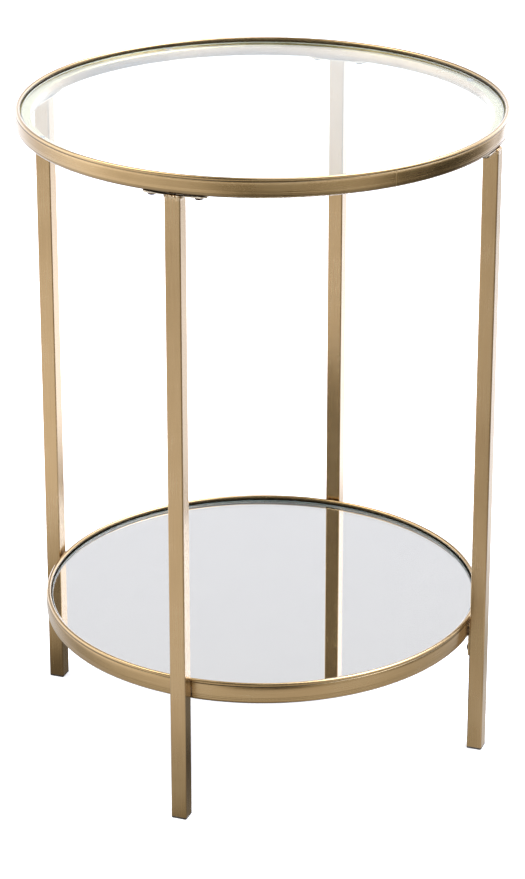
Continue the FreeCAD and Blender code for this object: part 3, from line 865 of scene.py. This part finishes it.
def leg_weld_parts():
    """Beads at the top of each leg, beside it under its plate and on its end, with their spatter."""
    draw = random.Random(11)
    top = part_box("leg_welds")[1].z
    outer, inner = LEG_WELD_ENDS
    reach = (LEG_WIDTH - LEG_WELD_MARGIN) / 2
    parts = []
    for turn in LEG_ANGLES:
        path = run((-reach, -PLATE_EDGE, top), (reach, -PLATE_EDGE, top), 40)
        seed = turn * 0.1 + 21.0
        bead = bead_mesh(path, END_BEAD_WALL, END_BEAD_COVER, LEG_WELD_SIZE, seed, END_RIPPLE_LENGTH)
        parts.append(turned_part(bead, turn))
        for side in (-1, 1):
            edge = side * LEG_WIDTH / 2
            path = run((edge, outer, top + 0.00001), (edge, inner, top + 0.00001), 34)
            bead = bead_mesh(path, (side, 0, 0), (0, 0, -1), LEG_WELD_SIZE, turn * 0.1 + side * 3.0)
            parts.append(turned_part(bead, turn))
            lump = (edge + side * LUMP_SET[0], outer + LUMP_SET[1], top - LUMP_SET[2])
            parts.append(turned_part(droplet(lump, (side * 0.8, 0, -0.6), LUMP_SIZE), turn))
            for _ in range(DROPS_A_SIDE):
                place = (edge, draw.uniform(*SPATTER_ACROSS), top - draw.uniform(*SPATTER_BELOW))
                drop = droplet(place, (side, 0, 0), draw.uniform(*SPATTER_SIZE))
                parts.append(turned_part(drop, turn))
    return parts


def tab_weld_parts():
    """Two upright beads on each tab, against the shelf ring's band."""
    low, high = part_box("tab_welds")
    y = TAB_WELD_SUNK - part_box("shelf_ring")[1].x
    parts = []
    for turn in LEG_ANGLES:
        for side in (-1, 1):
            x = side * TAB_WIDTH / 2
            path = run((x, y, low.z + TAB_WELD_MARGIN), (x, y, high.z - TAB_WELD_MARGIN), 30)
            seed = 40.0 + turn * 0.1 + side * 3.0
            bead = bead_mesh(path, (side, 0, 0), (0, -1, 0), TAB_WELD_SIZE, seed)
            parts.append(turned_part(bead, turn))
    return parts


def make_welds(bright, dull):
    """The rough beads in place of the plain fillets."""
    for name, node, parts, material in (
        ("leg_weld_beads", "leg_welds", leg_weld_parts(), bright),
        # The tab welds take the darker tones of painted shade
        ("tab_weld_beads", "tab_welds", tab_weld_parts(), dull),
    ):
        piece = mesh_object(name, *join_parts(parts), material, 50.0)
        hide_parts(node)
        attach(piece, "frame")


def plate_section(x, reach, inner, bottom, top):
    """A leg plate's section at x: a loop of points round it, from its outer lower edge."""
    past_corner = max(0.0, abs(x) - (reach - PLATE_CORNER))
    inset = PLATE_CORNER - math.sqrt(max(0.0, PLATE_CORNER ** 2 - past_corner ** 2))
    outer = -PLATE_EDGE + inset
    back = inner - inset
    hollow = PLATE_HOLLOW * max(0.0, 1.0 - (x / (PLATE_HOLLOW_REACH * reach)) ** 2)
    small = PLATE_ROUNDING
    high = top - hollow - small
    roll = min(PLATE_ROLL, high - bottom)
    loop = arc((outer + roll, bottom + roll), roll, 180, 270, 5)
    loop += arc((back - small, bottom + small), small, 270, 360, 3)
    loop += arc((back - small, high), small, 0, 90, 3)
    loop += arc((outer + small, high), small, 90, 180, 3)
    return [(x, y, z) for y, z in loop]


def plate_part():
    """The front leg's plate: a flat bar, its upper side a little hollow where the weld drew it down."""
    low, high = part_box("leg_plate_front")
    points = []
    for step in range(PLATE_STEPS + 1):
        x = -high.x * math.cos(math.pi * step / PLATE_STEPS)
        points += plate_section(x, high.x, high.y, low.z, high.z)
    rows = PLATE_STEPS + 1
    return points, tube_faces(rows, len(points) // rows)


def make_plates(material):
    """The flat bars on the leg tops, screwed up against the top ring."""
    for side, turn in zip(SIDES, LEG_ANGLES):
        plate = mesh_object(f"ring_plate_{side}", *turned_part(plate_part(), turn), material, 40.0)
        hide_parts(f"leg_plate_{side}")
        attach(plate, "frame")


def recess_depth(radius, angle):
    """The depth of a screw's cross recess, at a place on its head."""
    turn = (math.degrees(angle) + 45) % 90 - 45
    aside = radius * abs(math.sin(math.radians(turn)))
    across = max(0.0, 1.0 - aside / RECESS_HALF_WIDTH)
    along = max(0.0, 1.0 - (radius / RECESS_REACH) ** 4)
    return RECESS_DEPTH * min(1.0, RECESS_STEEPNESS * across) * along


def screw_part(place, head_low, seat, end, turn):
    """A pan-head screw, head down, from its head's face up to the end of its shank."""
    face = [(radius, head_low + HEAD_DISH * (radius / HEAD_FACE[-1]) ** 2) for radius in HEAD_FACE]
    centre = (HEAD_ROUND_CENTRE[0], head_low + HEAD_ROUND_CENTRE[1])
    side = arc(centre, HEAD_ROUND, -60, 0, 4) + [(HEAD_RADIUS, seat)]
    shank = [(SHANK_RADIUS, seat), (SHANK_RADIUS, end - SHANK_TIP), (SHANK_TIP_RADIUS, end)]
    rows = face + side + shank
    steps = 40
    points = [(*place, head_low + RECESS_DEPTH)]
    for index, (radius, level) in enumerate(rows):
        for angle in angles_round(steps):
            dip = recess_depth(radius, angle) if index < len(face) else 0.0
            x = place[0] + radius * math.cos(angle + turn)
            y = place[1] + radius * math.sin(angle + turn)
            points.append((x, y, level + dip))
    points.append((*place, end))
    return points, spun_faces(len(rows), steps)


def make_screws(material):
    """The plate screws, each turned as the driver left it."""
    draw = random.Random(5)
    low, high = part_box("top_screws")
    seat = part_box("leg_plate_front")[0].z
    chord = math.sqrt(SCREW_CIRCLE ** 2 - (SCREW_SPACING / 2) ** 2)
    parts = []
    for turn in LEG_ANGLES:
        for side in (-1, 1):
            place = (side * SCREW_SPACING / 2, -chord)
            screw = screw_part(place, low.z, seat, high.z, draw.uniform(0.0, 1.5))
            parts.append(turned_part(screw, turn))
    screws = mesh_object("plate_screws", *join_parts(parts), material, 40.0)
    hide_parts("top_screws")
    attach(screws, "frame")


def make_rings(band, seam):
    """The two rings, each with the ground seam welds where its rolled bars meet."""
    for node, pane in RINGS:
        section = ring_section(node, pane)
        ring = turned_ring(f"rolled_{node}", section, band)
        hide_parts(node)
        parts = [seam_points(section[SEAM_RUN], angle) for angle in SEAM_ANGLES[node]]
        seams = mesh_object(f"{node}_seams", *join_parts(parts), seam, 60.0)
        for piece in (ring, seams):
            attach(piece, "frame")


def dress(material, *nodes):
    """Gives CAD nodes a material."""
    for name in nodes:
        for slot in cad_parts[name].material_slots:
            slot.material = material


# ------------ studio

FLOOR_SIZE = 30.0
FLOOR_GLOW = 0.58


def make_floor():
    """A plain pale floor."""
    material, tree, shader = new_material("studio_floor")
    cloud = noise_on(tree, place_on(tree), 1.3, 2.0, 0.5)
    tone = colour_ramp(tree, cloud, ((0.3, (0.80, 0.80, 0.80)), (0.7, (0.82, 0.82, 0.82))))
    set_sockets(tree, shader, Base_Color=tone, Roughness=0.9, Specular_IOR_Level=0.0)
    set_sockets(tree, shader, Emission_Color=(1.0, 1.0, 1.0, 1.0), Emission_Strength=FLOOR_GLOW)
    half = FLOOR_SIZE / 2
    corners = [(-half, -half, 0), (half, -half, 0), (half, half, 0), (-half, half, 0)]
    floor = mesh_object("studio_floor", corners, [(0, 1, 2, 3)], material, closed=False)


def heading(azimuth, elevation):
    """A direction from its angle round the table and its height over the horizon, in degrees."""
    turn = math.radians(azimuth)
    rise = math.radians(elevation)
    return (math.sin(turn) * math.cos(rise), -math.cos(turn) * math.cos(rise), math.sin(rise))


def nearness(tree, direction, aim, wide, narrow):
    """A mask from 0 outside an angle round an aim to 1 inside a narrower one, in degrees."""
    low = math.cos(math.radians(wide))
    high = math.cos(math.radians(narrow))
    settings = {"interpolation_type": "SMOOTHSTEP"}
    values = {"Value": likeness(tree, direction, aim), "From_Min": low, "From_Max": high}
    return add_node(tree, "ShaderNodeMapRange", settings, **values).outputs[0]


# The sky's brightness by elevation, which a ramp holds as shares of SKY_SCALE. Towards the camera
# the shares are scaled by SKY_FRONT instead.
SKY_LEVELS = (
    (-90, 1.0), (-4, 1.0), (0, 2.2), (8, 2.4), (13, 1.65), (17, 1.6), (23, 0.90), (28, 0.82), (36, 0.40),
    (62, 0.30), (90, 0.60),
)
SKY_SCALE = 2.0
SKY_FRONT = 0.66
FRONT_ELEVATION = 24
FRONT_ANGLES = (95, 25)
# Soft banks of light on the sky: azimuth, elevation, outer and inner angle, strength
SKY_BANKS = (
    (160, 24, 24, 11, 1.5),
    (88, 46, 34, 16, 2.2),
    (-82, 34, 36, 18, 1.4),
    (140, 62, 32, 14, 5.5),
)
# The studio's colour by its strength: warm where it is dim, cool where it is bright
TINT_STRONGEST = 5.0
TINTS = (
    (0.06, (1.0, 0.92, 0.78)), (0.12, (1.0, 0.97, 0.90)), (0.17, (1.01, 0.995, 1.005)),
    (0.30, (0.975, 0.985, 1.05)), (0.50, (0.95, 0.985, 1.11)), (0.85, (0.90, 0.985, 1.28)),
)


def studio_tint(tree, strength):
    """The colour of the studio's light at its strength."""
    return colour_ramp(tree, calculate(tree, "DIVIDE", strength, TINT_STRONGEST), TINTS)


def make_sky():
    """The studio round the table: bright near the horizon, dim above, with soft banks of light."""
    world = bpy.data.worlds.new("studio")
    bpy.context.scene.world = world
    world.use_nodes = True
    tree = world.node_tree
    direction = add_node(tree, "ShaderNodeTexCoord").outputs["Generated"]
    stops = []
    for elevation, level in SKY_LEVELS:
        stops.append(((math.sin(math.radians(elevation)) + 1) / 2, (level / SKY_SCALE,) * 3))
    height = parts_of(tree, direction)[2]
    profile = colour_ramp(tree, spread(tree, height, 0.0, 1.0, -1.0, 1.0), stops)
    front = nearness(tree, direction, heading(CAMERA_AZIMUTH, FRONT_ELEVATION), *FRONT_ANGLES)
    total = times(tree, profile, spread(tree, front, SKY_SCALE, SKY_FRONT))
    for azimuth, elevation, wide, narrow, strength in SKY_BANKS:
        bank = nearness(tree, direction, heading(azimuth, elevation), wide, narrow)
        total = plus(tree, total, times(tree, bank, strength))
    plug(tree, tree.nodes["Background"].inputs["Strength"], total)
    plug(tree, tree.nodes["Background"].inputs["Color"], studio_tint(tree, total))


# What the metal mirrors of the floor. Near the table it is brightness by distance from a centre,
# which takes y times NEAR_SQUEEZE, with a shade round another centre. Further out it is brightness
# by angle round the table, on a middle ring and on an outer one, and a brighter sweep beyond them.
# A run is where one turns into the next.
CARD_REACH = 9.0
CARD_LEVEL = 0.0004
NEAR_CENTRE = (-0.05, 0.03)
NEAR_SQUEEZE = 1.2
# The low levels near the centre and the shade round SHADE_CENTRE are a painted shadow of the table, as
# the metal mirrors it
NEAR_LEVELS = (
    (0.0, 0.20), (0.17, 0.20), (0.20, 0.22), (0.25, 0.50), (0.29, 0.80), (0.33, 0.84), (0.38, 0.60),
    (0.42, 0.60), (0.46, 0.74), (0.52, 0.99), (0.60, 1.08), (1.0, 1.2),
)
NEAR_BRIGHTEST = 2.0
SHADE_CENTRE = (0.03, -0.17)
SHADE_RUN = (0.05, 0.13)
SHADE_SHARE = 0.73
MIDDLE_RUN = (0.48, 0.62)
MIDDLE_LEVELS = (
    (-180, 2.3), (-150, 1.8), (-90, 1.5), (-60, 1.6), (-40, 1.5), (-24, 1.22), (-10, 1.15), (0, 1.0),
    (9, 0.3), (16, 0.14), (32, 0.16), (48, 0.6), (66, 0.8), (78, 0.5), (88, 0.22), (120, 0.15),
    (130, 0.45), (140, 1.3), (155, 1.6), (168, 2.4),
)
OUTER_RUN = (1.15, 1.75)
OUTER_LEVELS = (
    (-180, 1.8), (-150, 1.7), (-98, 1.15), (-67, 1.7), (-38, 1.08), (-20, 0.95), (-7, 0.76), (3, 0.5),
    (14, 0.36), (38, 0.5), (62, 0.70), (74, 0.45), (84, 0.12), (110, 0.03), (126, 0.15), (136, 0.4),
    (142, 0.8), (148, 1.4), (152, 1.2), (157, 0.55), (162, 1.7), (168, 2.5), (175, 2.4),
)
SWEEP_RUN = (3.0, 7.0)
SWEEP_GAIN = 1.7
SWEEP_GLOW = 0.45
CARD_BRIGHTEST = 3.0


def brightness(tree, value, levels, brightest):
    """Brightness by a value, from levels that a ramp holds as shares of the brightest."""
    stops = [(place, (level / brightest,) * 3) for place, level in levels]
    return times(tree, colour_ramp(tree, value, stops), brightest)


def levels_round(tree, turn, levels):
    """Brightness by angle round the table, from levels that start at -180 degrees."""
    whole = levels + ((180, levels[0][1]),)
    places = [((angle + 180) / 360, level) for angle, level in whole]
    return brightness(tree, spread(tree, turn, 0.0, 1.0, -math.pi, math.pi), places, CARD_BRIGHTEST)


def crossfade(tree, radius, part, first, second):
    """One number turning into another over a part of the radius."""
    amount = spread(tree, radius, 0.0, 1.0, *part)
    kept = times(tree, first, minus(tree, 1.0, amount))
    return plus(tree, kept, times(tree, second, amount))


def from_centre(tree, x, y, centre, squeeze=1.0):
    """How far a point lies from a centre, with y counted that many times."""
    aside = minus(tree, x, centre[0])
    along = times(tree, minus(tree, y, centre[1]), squeeze)
    return distance_of(tree, aside, along)


def make_card():
    """A reflector lying just over the floor, which only glossy rays see."""
    material, tree, shader = new_material("reflector_card")
    tree.nodes.remove(shader)
    x, y, _ = parts_of(tree, place_on(tree))
    turn = calculate(tree, "ARCTAN2", x, times(tree, y, -1.0))
    radius = distance_of(tree, x, y)
    near_radius = from_centre(tree, x, y, NEAR_CENTRE, NEAR_SQUEEZE)
    near = brightness(tree, near_radius, NEAR_LEVELS, NEAR_BRIGHTEST)
    shade_radius = from_centre(tree, x, y, SHADE_CENTRE)
    kept = spread(tree, shade_radius, 1.0 - SHADE_SHARE, 1.0, *SHADE_RUN)
    near = times(tree, near, kept)
    middle = levels_round(tree, turn, MIDDLE_LEVELS)
    outer = levels_round(tree, turn, OUTER_LEVELS)
    strength = crossfade(tree, radius, MIDDLE_RUN, near, middle)
    strength = crossfade(tree, radius, OUTER_RUN, strength, outer)
    strength = times(tree, strength, spread(tree, radius, 1.0, SWEEP_GAIN, *SWEEP_RUN))
    strength = plus(tree, strength, spread(tree, radius, 0.0, SWEEP_GLOW, *SWEEP_RUN))
    glow = add_node(tree, "ShaderNodeEmission", Color=studio_tint(tree, strength), Strength=strength)
    tree.links.new(glow.outputs[0], tree.nodes["Material Output"].inputs["Surface"])
    steps = 64
    points = [on_circle(CARD_REACH, angle, CARD_LEVEL) for angle in angles_round(steps)]
    card = mesh_object("reflector_card", points, [tuple(range(steps))], material, closed=False)
    for kind in ("camera", "diffuse", "transmission", "volume_scatter", "shadow"):
        setattr(card, f"visible_{kind}", False)


# Soft boxes high on both sides: place, size and power
LIGHTS = (
    ("left_softbox", (-1.3, -0.5, 2.6), 1.5, 30.0),
    ("right_softbox", (1.5, 0.3, 2.4), 1.3, 26.0),
)
LIGHT_AIM = (0.0, 0.0, 0.3)


def make_lights():
    """The soft boxes, aimed at the table."""
    for name, place, size, power in LIGHTS:
        data = bpy.data.lights.new(name, "AREA")
        data.shape = "SQUARE"
        data.size = size
        data.energy = power
        light = bpy.data.objects.new(name, data)
        light.location = place
        aim = Vector(LIGHT_AIM) - Vector(place)
        light.rotation_euler = aim.to_track_quat("-Z", "Y").to_euler()
        bpy.context.scene.collection.objects.link(light)


def make_camera():
    """The photograph's camera."""
    turn = math.radians(CAMERA_AZIMUTH)
    data = bpy.data.cameras.new("camera")
    data.sensor_width = 36.0
    data.lens = CAMERA_LENS
    data.shift_x, data.shift_y = CAMERA_SHIFT
    camera = bpy.data.objects.new("camera", data)
    x, y, _ = heading(CAMERA_AZIMUTH, 0.0)
    camera.location = (CAMERA_DISTANCE * x, CAMERA_DISTANCE * y, CAMERA_HEIGHT)
    camera.rotation_euler = (math.radians(90.0 - CAMERA_PITCH), 0.0, turn)
    bpy.context.scene.collection.objects.link(camera)
    bpy.context.scene.camera = camera


def main():
    """Builds the pieces, gives the CAD's own nodes their finishes and sets up the studio."""
    drawn = gold_finish("gold_drawn", place_on, GRAIN_UPRIGHT, welded=welded_end)
    rolled = gold_finish("gold_rolled", rolled_place, GRAIN_ROUND, marks=ring_painted_shade_and_light, tones=RING_TONES)
    flat = gold_finish("gold_flat", rolled_place, GRAIN_ROUND, tones=PLATE_TONES)
    ground = gold_finish("gold_ground", rolled_place, GRAIN_GROUND, 0.30, 0.00002,
                         marks=ring_painted_shade_and_light, tones=RING_TONES, wear=0.1)
    dress(drawn, *(f"leg_{side}" for side in SIDES))
    dress(drawn, *(f"shelf_tab_{side}" for side in SIDES))
    dress(bolt_finish(), "shelf_bolts")
    dress(plastic_finish(), *(f"foot_cap_{side}" for side in SIDES))
    dress(steel_finish(), "top_nuts", "shelf_nuts")
    dress(rubber_finish(), "glass_bumpers", "mirror_bumpers")
    clear_glass = glass_finish("clear_glass_pane", (0.70, 0.92, 0.82, 1.0), 30.0, (0.58, 0.58, 0.55))
    dress(clear_glass, "glass_top")
    # The mirror pane's near-black rim is painted shade along the mirror's edge inside the shelf ring's
    # lip
    mirror_glass = glass_finish("mirror_glass_pane", (0.60, 0.85, 0.90, 1.0), 5.0, (0.10, 0.14, 0.12))
    pane = make_mirror(mirror_glass, silver_finish())
    make_welds(weld_finish("gold_weld", BRIGHT_WELD), weld_finish("gold_tab_weld_painted_shade", TAB_WELD_PAINTED_SHADE))
    make_rings(rolled, ground)
    make_plates(flat)
    make_screws(screw_finish())
    for piece in (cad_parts["glass_top"], pane):
        piece.visible_shadow = False
        piece.visible_diffuse = False
    make_floor()
    make_card()
    make_sky()
    make_lights()
    make_camera()
    bpy.context.scene.view_settings.view_transform = "Standard"


main()
